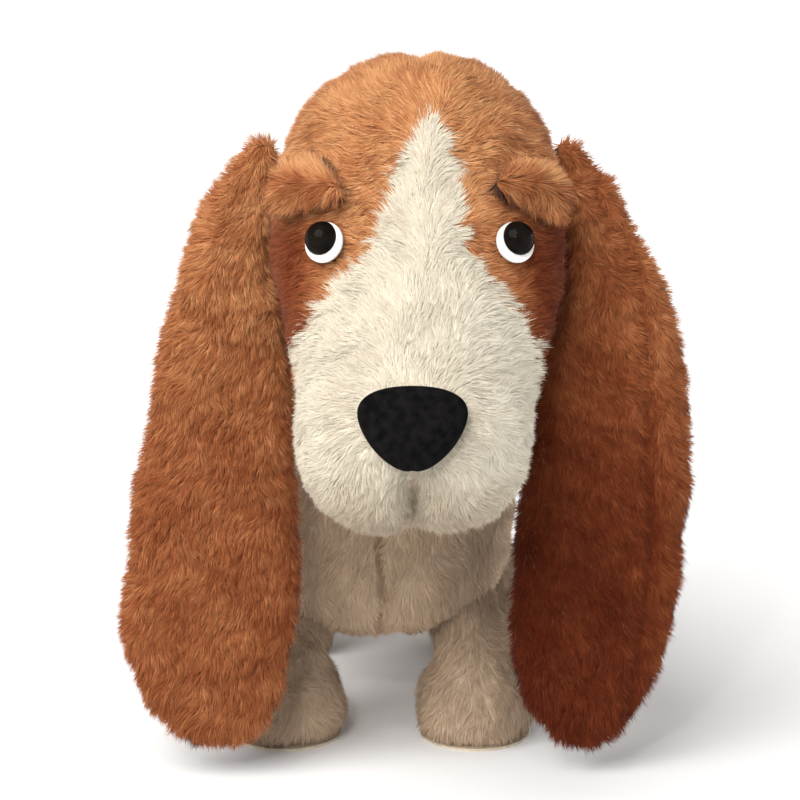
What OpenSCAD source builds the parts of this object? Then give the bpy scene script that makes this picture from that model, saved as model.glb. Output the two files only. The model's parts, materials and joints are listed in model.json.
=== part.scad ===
// Plush hound: a stuffed dog that stands on four short legs, with a big drooping
// head and two long ears that hang to the floor.
// The dog faces -Y and +Z is up. Its own left side is +X. The origin lies on the
// floor, under the middle of the whole toy.

/* [Body] */
// Length of the torso from chest to rump
body_length = 250; // [210:5:320]
// Width of the torso
body_width = 160; // [132:2:194]
// Height of the torso from belly to back
body_height = 165; // [145:5:195]
// Height of the belly above the floor
belly_height = 52; // [44:1:70]

/* [Legs] */
// Thickness of a leg
leg_width = 56; // [46:1:68]
// Distance between the middles of the front legs
front_leg_spacing = 113; // [97:1:126]
// Distance between the middles of the hind legs
hind_leg_spacing = 132; // [118:1:140]
// Distance from the chest back to the middle of a front leg
front_leg_inset = 30; // [28:1:40]
// Distance from the rump forward to the middle of a hind leg
hind_leg_inset = 42; // [36:1:60]
// Width of a paw
paw_width = 78; // [66:1:86]
// Length of a paw from heel to toe
paw_length = 84; // [70:1:102]
// How far a paw reaches forward of its leg's middle line
paw_forward = 6; // [0:1:12]

/* [Head] */
// Width of the skull
head_width = 164; // [136:2:198]
// Height of the skull from throat to crown
head_height = 175; // [148:1:200]
// Depth of the skull from nape to brow
head_depth = 150; // [125:1:180]
// Length of the muzzle in front of the brow
muzzle_length = 63; // [52:1:80]
// Width of the muzzle
muzzle_width = 137; // [114:1:160]
// How far the muzzle hangs below the throat
muzzle_droop = 72; // [55:1:80]
// Sideways lean of the head from the body's middle plane
head_lean = 22; // [0:1:28]
// Thickness of the neck
neck_width = 92; // [78:2:104]
// Width of the nose pad
nose_width = 58; // [48:1:66]
// Height of the nose pad
nose_height = 47; // [38:1:56]
// How far the nose pad stands out
nose_depth = 12; // [8:1:16]

/* [Eyes] */
// Diameter of an eye's glossy dome
eye_diameter = 18.5; // [15:0.5:22]
// Distance between the middles of the eyes
eye_spacing = 103; // [86:1:118]
// Diameter of the felt disc behind an eye
felt_diameter = 22; // [19:0.5:27]
// Diameter of the stem that goes through the fabric
stem_diameter = 5; // [4:0.5:6]
// Length of the stem behind the dome
stem_length = 14; // [12:1:18]
// Diameter of the lock washer on the stem
washer_diameter = 18; // [14:1:22]

/* [Eyebrows] */
// Length of an eyebrow flap
brow_length = 46; // [38:1:52]
// Height of an eyebrow flap
brow_height = 26; // [20:1:30]
// Thickness of an eyebrow flap
brow_thickness = 15; // [12:1:18]
// Slope of the flap, its outer end lower than its inner end
brow_slope = 12; // [0:1:20]

/* [Ears] */
// Width of an ear at its widest
ear_width = 98; // [80:1:118]
// Thickness of an ear
ear_thickness = 34; // [28:1:42]
// Height of an ear's tip above the floor
ear_tip_height = 16; // [14:1:60]
// Outward slant of the ear on the side away from the lean
ear_slant = 5; // [0:1:8]
// Free space between the back of an ear and the toes
ear_toe_gap = 17; // [16:1:30]

/* [Tail] */
// Length of the tail from its seam to its tip
tail_length = 110; // [88:1:135]
// Thickness of the tail at its seam
tail_width = 32; // [26:1:38]
// Backward slant of the tail from upright
tail_slant = 40; // [25:1:55]

/* [Fabric] */
// Thickness of the plush with its pile lying flat
skin = 3; // [2:0.5:4]
// Thickness of the felt and of the sole fabric
felt = 1.5; // [1:0.1:2]
// Gap between neighbouring pieces at a seam
seam_gap = 0.4; // [0.3:0.1:0.8]
// Gap between the fabric and the stuffing inside it
fill_gap = 1.6; // [1.5:0.1:2.5]
// Gap between a jointed piece and the socket it turns in
socket_gap = 2.5; // [2:0.5:4]

/* [Hidden] */
SIDES = ["left", "right"];

brown = "peru";
cream = "antiquewhite";
fibre = "whitesmoke";

// A form is a list of rings, [place, centre across, centre up, half width, half height],
// threaded on one axis: Y for the torso, head and nose, Z for the legs, ears and tail.
ring_step = 20;         // angle between the corners of a ring
pole = 4;               // half width at which a form's round end is left open

function column(form, c) = [for (ring = form) ring[c]];
function mix(a, b, t) = a + (b - a) * t;

// The same form shrunk all round by a depth, each ring staying opposite its twin.
function shrunk(form, depth) =
    let (lo = min(column(form, 0)), hi = max(column(form, 0)))
    let (mid = (lo + hi) / 2, along = 1 - 2 * depth / (hi - lo))
    let (wide = 1 - depth / max(column(form, 3)), tall = 1 - depth / max(column(form, 4)))
    [for (r = form) [mid + (r[0] - mid) * along, r[1], r[2], r[3] * wide, r[4] * tall]];

function corner(ring, angle, taper) =
    [ring[1] + ring[3] * cos(angle) * (1 + taper * sin(angle)), ring[2] + ring[4] * sin(angle)];

// A point of a form's surface, at a ring number that may lie between two rings.
function point_on(form, at, angle, taper = 0) =
    let (k = min(floor(at), len(form) - 2))
    let (ring = mix(form[k], form[k + 1], at - k), p = corner(ring, angle, taper))
    [p[0], ring[0], p[1]];

function stand(p, upright) = upright ? [p[0], p[2], p[1]] : p;

// Fabric between two angles of a form, from one ring to another: a thin closed sheet.
module sheet(form, first, last, from, to, upright = false, taper = 0) {
    inner = shrunk(form, skin);
    rows = last - first + 1;
    cols = ceil(max(to - from) / ring_step) + 1;
    ends = seam_gap / 2;
    radian = 57.3;      // in degrees
    function nudge(k) = k == first ? ends : k == last ? -ends : 0;
    function angle(k, c) =
        let (gap = radian * ends / max(form[k][3], form[k][4], pole))
        mix(from[k - first] + gap, to[k - first] - gap, c / (cols - 1));
    function layer(f, sign) = [
        for (k = [first:last]) for (c = [0:cols - 1])
            stand(point_on(f, k, angle(k, c), taper) + [0, sign * nudge(k), 0], upright)
    ];
    sign = form[0][0] < form[len(form) - 1][0] ? 1 : -1;
    count = rows * cols;
    function at(k, c, l) = l * count + k * cols + c;
    outside = [for (k = [0:rows - 2]) for (c = [0:cols - 2]) for (half = [0, 1])
        half == 0 ? [at(k, c, 0), at(k + 1, c, 0), at(k + 1, c + 1, 0)]
                  : [at(k, c, 0), at(k + 1, c + 1, 0), at(k, c + 1, 0)]];
    inside = [for (k = [0:rows - 2]) for (c = [0:cols - 2]) for (half = [0, 1])
        half == 0 ? [at(k, c, 1), at(k + 1, c + 1, 1), at(k + 1, c, 1)]
                  : [at(k, c, 1), at(k, c + 1, 1), at(k + 1, c + 1, 1)]];
    rims = concat(
        [for (c = [0:cols - 2]) each wall(at(0, c, 0), at(0, c + 1, 0), at(0, c + 1, 1), at(0, c, 1))],
        [for (c = [0:cols - 2])
            each wall(at(rows - 1, c + 1, 0), at(rows - 1, c, 0), at(rows - 1, c, 1), at(rows - 1, c + 1, 1))],
        [for (k = [0:rows - 2]) each wall(at(k + 1, 0, 0), at(k, 0, 0), at(k, 0, 1), at(k + 1, 0, 1))],
        [for (k = [0:rows - 2])
            each wall(at(k, cols - 1, 0), at(k + 1, cols - 1, 0), at(k + 1, cols - 1, 1), at(k, cols - 1, 1))]
    );
    faces = concat(outside, inside, rims);
    flip = (sign > 0) != upright;
    polyhedron(
        concat(layer(form, sign), layer(inner, sign)),
        flip ? [for (f = faces) [f[0], f[2], f[1]]] : faces
    );
}

function wall(a, b, c, d) = [[a, b, c], [a, c, d]];

// A form as one closed solid.
module stuffed(form, upright = false, taper = 0) {
    sides = 360 / ring_step;
    last = len(form) - 1;
    points = [for (k = [0:last]) for (c = [0:sides - 1])
        stand(point_on(form, k, c * ring_step, taper), upright)];
    sleeve = [for (k = [0:last - 1]) for (c = [0:sides - 1])
        each wall(k * sides + c, (k + 1) * sides + c,
            (k + 1) * sides + (c + 1) % sides, k * sides + (c + 1) % sides)];
    near = [for (c = [0:sides - 1]) c];
    far = [for (c = [sides - 1:-1:0]) last * sides + c];
    faces = concat(sleeve, [near, far]);
    flip = (form[0][0] < form[last][0]) != upright;
    polyhedron(points, flip ? [for (f = faces) [for (i = [len(f) - 1:-1:0]) f[i]]] : faces);
}

// Children stand on a surface point, their +Z along the surface's outward normal.
module seat(point, normal) {
    translate(point)
        rotate([0, 0, atan2(normal[0], -normal[1])])
            rotate([90 - asin(normal[2]), 0, 0])
                children();
}

function unit(v) = v / norm(v);
function same(value, count) = [for (i = [1:count]) value];
function hand(side) = side == "left" ? 1 : -1;

// ---- Torso: chest at y = 0, rump behind it ----
torso_rings = 10;
torso_roundness = 6;    // how squarely the torso's ends are filled
torso_z = belly_height + body_height / 2;
function swell(t) = sqrt(1 - pow(abs(2 * t - 1), torso_roundness));
torso_form = [for (k = [0:torso_rings])
    let (t = (1 - cos(180 * k / torso_rings)) / 2, s = swell(t))
    [body_length * t, 0, torso_z, max(pole, s * body_width / 2), max(pole, s * body_height / 2)]];
function torso_under(x, y) =
    let (s = swell(y / body_length), across = 2 * x / (s * body_width))
    torso_z - s * body_height / 2 * sqrt(1 - across * across);
chest_ring = 4;         // the cream chest ends at this ring
belly_edge = 35;        // the belly panel reaches this far up each side

// ---- Legs ----
leg_r = leg_width / 2;
leg_sink = 0.3;         // share of a leg's rounded top that shows below the torso
leg_swing = 18;         // how far a leg may swing forward or back
paw_height = 44;
function leg_place(end, side) =
    let (x = hand(side) * (end == "front" ? front_leg_spacing : hind_leg_spacing) / 2)
    let (y = end == "front" ? front_leg_inset : body_length - hind_leg_inset)
    [x, y, torso_under(x, y) - leg_sink * leg_r];
// Paw rings: height, then size as a share of the full paw
paw_rows = [[0.05, 0.84], [0.14, 0.95], [0.34, 1], [0.6, 0.96], [0.84, 0.83]];
function leg_form(p) = concat(
    [for (r = paw_rows)
        [paw_height * r[0], p[0], p[1] - paw_forward * r[1], paw_width / 2 * r[1], paw_length / 2 * r[1]]],
    [[paw_height + 4, p[0], p[1] - 1, leg_r, leg_r + 1],
     [p[2] - leg_r / 2, p[0], p[1], 0.94 * leg_r, 0.94 * leg_r]],
    [for (a = [0, 30, 55, 78]) [p[2] + leg_r * sin(a), p[0], p[1], leg_r * cos(a), leg_r * cos(a)]]
);
sole_size = paw_rows[0][1];

// ---- Ears, measured from the seam where they hang ----
toe_y = front_leg_inset - paw_forward - paw_length / 2;
ear_y = toe_y - ear_toe_gap - ear_thickness / 2;

// ---- Neck: a firm ball that the head turns and nods on ----
neck_r = neck_width / 2;
neck_rise = 14;         // the ball's middle above the torso's back
neck_set = 14;          // the ball's middle behind the chest
neck_place = [head_lean / 2, neck_set, belly_height + body_height + neck_rise];
neck_form = [for (a = [-78:13:78])
    [neck_place[2] + neck_r * sin(a), neck_place[0], neck_place[1], neck_r * cos(a), neck_r * cos(a)]];
neck_band = [2, 10];    // rings between which the neck is covered with fabric

// ---- Head: rings from the nape forward to the nose ----
throat_rise = 5;        // the throat above the neck's middle
nape_share = 0.57;      // share of the skull's depth that lies behind the ears
throat_z = neck_place[2] + throat_rise;
crown_z = throat_z + head_height;
nape_y = ear_y + nape_share * head_depth;
brow_y = nape_y - head_depth;
snout_y = brow_y - muzzle_length;
// Share of the depth, of the height down to the top line, of the height down to the
// bottom line, and of the width
skull_rows = [
    [0, 0.44, 0.49, 0.06], [0.02, 0.33, 0.6, 0.32], [0.07, 0.21, 0.7, 0.58], [0.2, 0.08, 0.85, 0.84],
    [0.35, 0.01, 0.94, 0.96], [0.52, 0, 1, 1]
];
// The same for the face, its bottom line given as a share of the muzzle's droop
face_rows = [[0.69, 0.06, 0.22, 0.98], [0.83, 0.18, 0.5, 0.93], [0.93, 0.34, 0.78, 0.88]];
muzzle_rows = [
    [0, 0.475, 0.93, 1.02], [0.2, 0.635, 1, 1], [0.46, 0.73, 0.96, 0.95],
    [0.74, 0.81, 0.8, 0.8], [0.93, 0.87, 0.53, 0.56], [1, 0.9, 0.36, 0.4]
];
function head_ring(y, top, bottom, half) = [y, head_lean, (top + bottom) / 2, half, (top - bottom) / 2];
head_form = concat(
    [for (r = skull_rows)
        head_ring(nape_y - head_depth * r[0], crown_z - head_height * r[1],
            crown_z - head_height * r[2], head_width / 2 * r[3])],
    [for (r = face_rows)
        head_ring(nape_y - head_depth * r[0], crown_z - head_height * r[1],
            throat_z - muzzle_droop * r[2], head_width / 2 * r[3])],
    [for (r = muzzle_rows)
        head_ring(brow_y - muzzle_length * r[0], crown_z - head_height * r[1],
            throat_z - muzzle_droop * r[2], muzzle_width / 2 * r[3])]
);
nape_ring = 3;          // the nape panel ends at this ring
blaze_ring = 6;         // the blaze starts at this ring
face_ring = 9;          // the muzzle starts at this ring
snout_ring = 14;
throat_edge = 35;       // half the throat panel's angle
blaze_edges = [2, 11, 19, 30, 48, 52, 50, 45, 45];   // half the blaze's angle, ring by ring
crown_edges = concat(same(0, blaze_ring - nape_ring), [for (k = [0:3]) blaze_edges[k]]);
muzzle_edges = [for (k = [3:8]) blaze_edges[k]];
function head_point(at, angle) = point_on(head_form, at, angle);
function head_normal(at, angle) =
    let (a = head_point(at + 0.05, angle) - head_point(at - 0.05, angle))
    let (b = head_point(at, angle + 1) - head_point(at, angle - 1))
    unit(cross(b, a));

// ---- Eyes and eyebrows, by ring number and angle on the head ----
eye_ring = 8.25;
eye_rise = 7;           // height of the dome
felt_shift = 2;         // the felt shows most below and inside the eye
washer_thickness = 1.6;
washer_depth = skin + 2.6;
function across_angle(at, x, side) =
    let (a = acos(x / point_on([for (r = head_form) [r[0], 0, 0, r[3], 0]], at, 0)[0]))
    side == "left" ? a : 180 - a;
function eye_angle(side) = across_angle(eye_ring, eye_spacing / 2, side);
module at_eye(side)
    seat(head_point(eye_ring, eye_angle(side)), head_normal(eye_ring, eye_angle(side))) children();

brow_ring = 7.2;
brow_out = 0.69;        // the eyebrow's middle, as a share of half the head's width
brow_gap = 1;           // free space under an eyebrow
function brow_angle(side) = across_angle(brow_ring, brow_out * head_width / 2, side);
function brow_normal(side) = head_normal(brow_ring, brow_angle(side));
function brow_middle(side) =
    head_point(brow_ring, brow_angle(side)) + (brow_thickness / 2 + brow_gap) * brow_normal(side);

// ---- Ears ----
ear_hinge_drop = 0.326; // the ear's seam below the crown, as a share of the head's height
ear_hinge_out = 2;      // the ear's seam outside the skull
ear_tuck = 35;          // how far an ear's inner edge tucks in under the cheek
ear_set_back = 12;      // the seam behind the hanging part of the ear
ear_hinge_z = crown_z - ear_hinge_drop * head_height;
ear_length = ear_hinge_z - ear_tip_height;
function ear_hinge(side) =
    [head_lean + hand(side) * (head_width / 2 + ear_hinge_out), ear_y + ear_set_back, ear_hinge_z];
// Share of the length, of the tuck, of the width, of the thickness, and of the set back
ear_rows = [
    [0, -0.1, 0.14, 0.4, 0], [0.025, -0.06, 0.22, 0.56, 0.02], [0.125, 0.03, 0.4, 0.85, 0.25],
    [0.205, 0.12, 0.57, 0.95, 0.55], [0.285, 0.26, 0.69, 1, 0.8], [0.4, 0.55, 0.89, 1, 0.95],
    [0.56, 0.74, 0.96, 1, 1], [0.77, 1, 1, 1, 1], [0.89, 0.92, 0.85, 0.9, 1],
    [0.96, 0.6, 0.58, 0.68, 1], [1, 0.2, 0.2, 0.3, 1]
];
function ear_form(side) = [for (r = ear_rows)
    let (half = ear_width * r[2] / 2, middle = half - ear_tuck * r[1])
    [-ear_length * r[0], hand(side) * middle, -ear_set_back * r[4], half, ear_thickness / 2 * r[3]]];
function slant(side) = side == "left" ? 0 : ear_slant;
function ear_reach(side) = max([for (r = ear_form("left"))
    (r[1] + r[3]) * cos(slant(side)) - r[0] * sin(slant(side))]);
ear_front = [180, 360];
ear_back = [0, 180];
module at_ear(side) translate(ear_hinge(side)) rotate([0, slant(side), 0]) children();

// ---- Tail, along its own +Z from the seam ----
tail_r = tail_width / 2;
tail_set = 0.93;        // share of the torso's length where the tail is sewn on
tail_place = [0, body_length * tail_set, torso_z + swell(tail_set) * body_height / 2 - tail_r / 2];
tail_rows = [[0, 1], [0.3, 0.92], [0.6, 0.85], [0.85, 0.7], [0.96, 0.45], [1, 0.2]];
tail_form = concat(
    [for (a = [-75, -40]) [tail_r * sin(a), 0, 0, tail_r * cos(a), tail_r * cos(a)]],
    [for (r = tail_rows) [tail_length * r[0], 0, 0, tail_r * r[1], tail_r * r[1]]]
);
tip_ring = 4;           // the cream tip starts at this ring
module at_tail() translate(tail_place) rotate([-tail_slant, 0, 0]) children();

// ---- The whole toy is centred over the origin ----
left_reach = ear_hinge("left")[0] + ear_reach("left");
right_reach = ear_hinge("right")[0] - ear_reach("right");
front_reach = snout_y - seam_gap - nose_depth;
rear_reach = tail_place[1] + tail_length * sin(tail_slant) + tail_r / 2;
module centred()
    translate([-(left_reach + right_reach) / 2, -(front_reach + rear_reach) / 2, 0]) children();

// ---- Sockets cut where jointed pieces sink into the torso and head ----
module neck_socket() translate(neck_place) sphere(neck_r + socket_gap, $fn = 64);
module leg_socket(p) {
    translate(p) sphere(leg_r + socket_gap, $fn = 64);
    for (swing = [-leg_swing, 0, leg_swing])
        translate(p) rotate([swing, 0, 0])
            translate([0, 0, -p[2]]) cylinder(h = p[2], r = leg_r + socket_gap, $fn = 64);
}
module torso_sockets() {
    for (end = ["front", "hind"]) for (side = SIDES) leg_socket(leg_place(end, side));
    translate(tail_place) sphere(tail_r + socket_gap, $fn = 64);
    neck_socket();
}

// ---- Torso pieces ----
module torso_sheet(first, last, from, to) {
    rows = last - first + 1;
    centred() difference() {
        sheet(torso_form, first, last, same(from, rows), same(to, rows));
        torso_sockets();
    }
}

module chest_panel(side)
    color(cream)
        torso_sheet(0, chest_ring, side == "left" ? -90 : 90, side == "left" ? 90 : 270);

module back_panel(side)
    color(brown)
        torso_sheet(chest_ring, torso_rings,
            side == "left" ? belly_edge - 90 : 90, side == "left" ? 90 : 270 - belly_edge);

module belly_panel()
    color(cream)
        torso_sheet(chest_ring, torso_rings, 270 - belly_edge, 270 + belly_edge);

module torso_stuffing()
    color(fibre) centred() difference() {
        stuffed(shrunk(torso_form, skin + fill_gap));
        torso_sockets();
    }

// ---- Neck pieces ----
module neck_skin() {
    rows = neck_band[1] - neck_band[0] + 1;
    color(brown) centred()
        sheet(neck_form, neck_band[0], neck_band[1], same(90, rows), same(450, rows), upright = true);
}

module neck_stuffing()
    color(fibre) centred() translate(neck_place) sphere(neck_r - skin - fill_gap, $fn = 64);

// ---- Head pieces ----
head_gap = fill_gap + 0.8;      // the folds of the face need more room inside

// A piece of the head, drawn for the left side.
module head_sheet(first, last, from, to, side = "left")
    centred() difference() {
        translate([head_lean, 0, 0])
            mirror([side == "left" ? 0 : 1, 0, 0])
                translate([-head_lean, 0, 0])
                    sheet(head_form, first, last, from, to);
        neck_socket();
    }

module head_panel(side) {
    rows = face_ring - nape_ring + 1;
    color(brown) difference() {
        head_sheet(nape_ring, face_ring, same(throat_edge - 90, rows), same(90, rows) - crown_edges, side);
        centred() at_eye(side) cylinder(h = 2 * stem_length, d = stem_diameter + seam_gap, center = true, $fn = 32);
    }
}

module nape_panel()
    color(brown) head_sheet(0, nape_ring, same(-85, nape_ring + 1), same(265, nape_ring + 1));

module throat_panel() {
    rows = face_ring - nape_ring + 1;
    color(cream)
        head_sheet(nape_ring, face_ring, same(270 - throat_edge, rows), same(270 + throat_edge, rows));
}

module blaze_panel() {
    rows = len(blaze_edges);
    color(cream) head_sheet(blaze_ring, snout_ring, same(90, rows) - blaze_edges, same(90, rows) + blaze_edges);
}

module flew_panel(side) {
    rows = len(muzzle_edges);
    color(cream) head_sheet(face_ring, snout_ring, same(-90, rows), same(90, rows) - muzzle_edges, side);
}

module head_stuffing()
    color(fibre) centred() difference() {
        stuffed(shrunk(head_form, skin + head_gap));
        neck_socket();
        for (side = SIDES) at_eye(side)
            translate([0, 0, -stem_length - fill_gap])
                cylinder(h = 2 * stem_length, d = washer_diameter + fill_gap, $fn = 48);
    }

// ---- Nose: a velvet pad over the muzzle's front end ----
nose_taper = 0.16;      // the nose is broader at its top than at its bottom
nose_rows = [[0, 1], [0.35, 0.96], [0.75, 0.76], [1, 0.36]];
nose_form = [for (r = nose_rows)
    [snout_y - seam_gap - nose_depth * r[0], head_lean, head_form[snout_ring][2],
     nose_width / 2 * r[1], nose_height / 2 * r[1]]];
nose_hollow = shrunk(nose_form, felt);

module nose_pad()
    color("black") centred() difference() {
        stuffed(nose_form, taper = nose_taper);
        stuffed(concat([[snout_y + felt, for (i = [1:4]) nose_hollow[0][i]]], nose_hollow), taper = nose_taper);
    }

module nose_padding()
    color(fibre) centred() stuffed(shrunk(nose_form, felt + seam_gap), taper = nose_taper);

// ---- Eyes ----
felt_lift = seam_gap;
dome_lift = felt_lift + felt + seam_gap;
dome_r = (eye_diameter * eye_diameter / 4 + eye_rise * eye_rise) / (2 * eye_rise);

module eye(side)
    color("black") centred() at_eye(side) {
        intersection() {
            translate([0, 0, dome_lift + eye_rise - dome_r]) sphere(dome_r, $fn = 64);
            translate([0, 0, dome_lift]) cylinder(h = eye_rise + 1, d = eye_diameter + 1, $fn = 64);
        }
        translate([0, 0, -stem_length]) cylinder(h = stem_length + dome_lift + 1, d = stem_diameter, $fn = 32);
    }

module eye_washer(side)
    color("gainsboro") centred() at_eye(side)
        translate([0, 0, -washer_depth - washer_thickness]) difference() {
            cylinder(h = washer_thickness, d = washer_diameter, $fn = 48);
            translate([0, 0, -1])
                cylinder(h = washer_thickness + 2, d = stem_diameter + seam_gap / 2, $fn = 32);
        }

module eye_felt(side)
    color("white") centred() at_eye(side) difference() {
        translate([-hand(side) * felt_shift, -felt_shift, felt_lift])
            cylinder(h = felt, d = felt_diameter, $fn = 48);
        cylinder(h = 3 * felt, d = stem_diameter + seam_gap, $fn = 32);
    }

module eyebrow(side)
    color(brown) centred() seat(brow_middle(side), brow_normal(side))
        rotate([0, 0, -hand(side) * brow_slope])
            scale([brow_length / brow_thickness, brow_height / brow_thickness, 1])
                sphere(brow_thickness / 2, $fn = 48);

// ---- Ear pieces ----
module ear_sheet(side, arc) {
    rows = len(ear_rows);
    color(brown) centred() at_ear(side)
        sheet(ear_form(side), 0, rows - 1, same(arc[0], rows), same(arc[1], rows), upright = true);
}

module ear_batting(side)
    color(fibre) centred() at_ear(side)
        stuffed(shrunk(ear_form(side), skin + fill_gap), upright = true);

// ---- Leg pieces ----
module leg_skin(end, side) {
    form = leg_form(leg_place(end, side));
    seam = side == "left" ? 180 : 0;
    color(cream) centred()
        sheet(form, 0, len(form) - 1, same(seam, len(form)), same(seam + 360, len(form)), upright = true);
}

module leg_stuffing(end, side)
    color(fibre) centred()
        stuffed(shrunk(leg_form(leg_place(end, side)), skin + fill_gap), upright = true);

module sole(end, side) {
    p = leg_place(end, side);
    color(cream) centred()
        linear_extrude(felt)
            polygon([for (a = [0:ring_step / 2:359])
                [p[0] + paw_width / 2 * sole_size * cos(a),
                 p[1] - paw_forward * sole_size + paw_length / 2 * sole_size * sin(a)]]);
}

// ---- Tail pieces ----
module tail_sheet(first, last)
    centred() at_tail()
        sheet(tail_form, first, last, same(-90, last - first + 1), same(270, last - first + 1), upright = true);

module tail_skin() color(brown) tail_sheet(0, tip_ring);
module tail_tip() color(cream) tail_sheet(tip_ring, len(tail_form) - 1);
module tail_stuffing()
    color(fibre) centred() at_tail() stuffed(shrunk(tail_form, skin + fill_gap), upright = true);

chest_panel("left");  // chest_panel_left
chest_panel("right");  // chest_panel_right
back_panel("left");  // back_panel_left
back_panel("right");  // back_panel_right
belly_panel();
torso_stuffing();
neck_skin();
neck_stuffing();
head_panel("left");  // head_panel_left
head_panel("right");  // head_panel_right
nape_panel();
throat_panel();
blaze_panel();
flew_panel("left");  // flew_panel_left
flew_panel("right");  // flew_panel_right
head_stuffing();
nose_pad();
nose_padding();
eye("left");  // eye_left
eye("right");  // eye_right
eye_washer("left");  // eye_washer_left
eye_washer("right");  // eye_washer_right
eye_felt("left");  // eye_felt_left
eye_felt("right");  // eye_felt_right
eyebrow("left");  // eyebrow_left
eyebrow("right");  // eyebrow_right
ear_sheet("left", ear_front);  // ear_front_left
ear_sheet("left", ear_back);  // ear_back_left
ear_batting("left");  // ear_batting_left
ear_sheet("right", ear_front);  // ear_front_right
ear_sheet("right", ear_back);  // ear_back_right
ear_batting("right");  // ear_batting_right
leg_skin("front", "left");  // front_leg_skin_left
leg_stuffing("front", "left");  // front_leg_stuffing_left
sole("front", "left");  // front_sole_left
leg_skin("front", "right");  // front_leg_skin_right
leg_stuffing("front", "right");  // front_leg_stuffing_right
sole("front", "right");  // front_sole_right
leg_skin("hind", "left");  // hind_leg_skin_left
leg_stuffing("hind", "left");  // hind_leg_stuffing_left
sole("hind", "left");  // hind_sole_left
leg_skin("hind", "right");  // hind_leg_skin_right
leg_stuffing("hind", "right");  // hind_leg_stuffing_right
sole("hind", "right");  // hind_sole_right
tail_skin();
tail_tip();
tail_stuffing();
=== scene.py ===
"""A plush hound with modelled pile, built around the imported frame.

Lengths are in metres. The dog faces -Y, +Z is up, and its own left side is +X.
Each stuffed piece is a smooth skin a little inside its CAD solid, and the pile is
thousands of short tapered tufts that grow out of that skin.
"""
import json
import math

import bmesh
import bpy
import numpy as np
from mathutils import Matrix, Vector


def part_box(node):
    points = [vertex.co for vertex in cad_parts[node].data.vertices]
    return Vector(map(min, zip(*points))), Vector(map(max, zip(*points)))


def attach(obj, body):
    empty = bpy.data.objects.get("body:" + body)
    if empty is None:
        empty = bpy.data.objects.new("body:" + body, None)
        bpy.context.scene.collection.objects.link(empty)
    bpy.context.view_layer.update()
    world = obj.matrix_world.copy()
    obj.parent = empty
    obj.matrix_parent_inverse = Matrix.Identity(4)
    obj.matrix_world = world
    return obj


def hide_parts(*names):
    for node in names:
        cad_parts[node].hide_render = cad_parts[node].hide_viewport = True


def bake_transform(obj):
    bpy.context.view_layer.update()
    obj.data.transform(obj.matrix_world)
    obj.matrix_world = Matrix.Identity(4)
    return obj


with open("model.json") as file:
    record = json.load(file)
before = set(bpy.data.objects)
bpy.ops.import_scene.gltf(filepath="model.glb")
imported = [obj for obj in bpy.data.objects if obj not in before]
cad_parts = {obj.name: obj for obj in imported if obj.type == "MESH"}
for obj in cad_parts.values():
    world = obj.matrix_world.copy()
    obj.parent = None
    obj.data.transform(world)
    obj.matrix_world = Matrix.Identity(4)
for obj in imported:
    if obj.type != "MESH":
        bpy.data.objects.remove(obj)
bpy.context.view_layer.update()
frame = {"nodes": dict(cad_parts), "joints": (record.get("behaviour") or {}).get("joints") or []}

MM = 0.001
SIDES = {"left": 1, "right": -1}
HEAD_PANELS = ["head_panel_left", "head_panel_right", "nape_panel", "throat_panel",
               "blaze_panel", "flew_panel_left", "flew_panel_right"]
TORSO_PANELS = ["chest_panel_left", "chest_panel_right", "back_panel_left",
                "back_panel_right", "belly_panel"]


# ---- Places, read from the frame ----
def corners(*nodes):
    boxes = [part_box(node) for node in nodes]
    low = np.min([tuple(box[0]) for box in boxes], axis=0)
    high = np.max([tuple(box[1]) for box in boxes], axis=0)
    return low, high


def joint_place(name):
    joint = next(j for j in frame["joints"] if j["name"] == name)
    return np.array(joint["pos_m"])


head_low, head_high = corners(*HEAD_PANELS)
head_x = (head_low[0] + head_high[0]) / 2
crown_z = head_high[2]
nape_y = head_high[1]
torso_low, torso_high = corners(*TORSO_PANELS)
torso_x = (torso_low[0] + torso_high[0]) / 2
torso_z = (torso_low[2] + torso_high[2]) / 2
chest_y = torso_low[1]
nose_low, nose_high = corners("nose_pad")
muzzle_turn = 4 * MM      # how far the muzzle and nose point to the dog's right
nose_place = (nose_low + nose_high) / 2 - (muzzle_turn, 0, 0)
neck_place = joint_place("neck_turn")


def eye_place(side):
    low, high = corners("eye_felt_" + side)
    return (low + high) / 2


pile_room = 5 * MM       # how far a skin lies inside its CAD solid, to leave room for pile
CAGE = 1.02              # a cage is this much larger than the skin, which rounding pulls in
SIDES_ROUND = 20         # corners round the cage of a large skin


# ---- Mesh helpers ----
def link(name, data):
    obj = bpy.data.objects.new(name, data)
    bpy.context.scene.collection.objects.link(obj)
    return obj


def ring(centre, across, up, half_across, half_up, sides=16, pear=0.0, square=2.0):
    """Points round a centre. pear widens the lower half, and square over 2 fills the corners."""
    angle = np.arange(sides) * 2 * math.pi / sides
    c, s = np.cos(angle), np.sin(angle)
    c = np.sign(c) * np.abs(c) ** (2 / square)
    s = np.sign(s) * np.abs(s) ** (2 / square)
    across_part = np.outer(c * (1 - pear * s) * half_across, across)
    up_part = np.outer(s * half_up, up)
    return np.asarray(centre) + across_part + up_part


X, Y, Z = np.eye(3)


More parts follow.
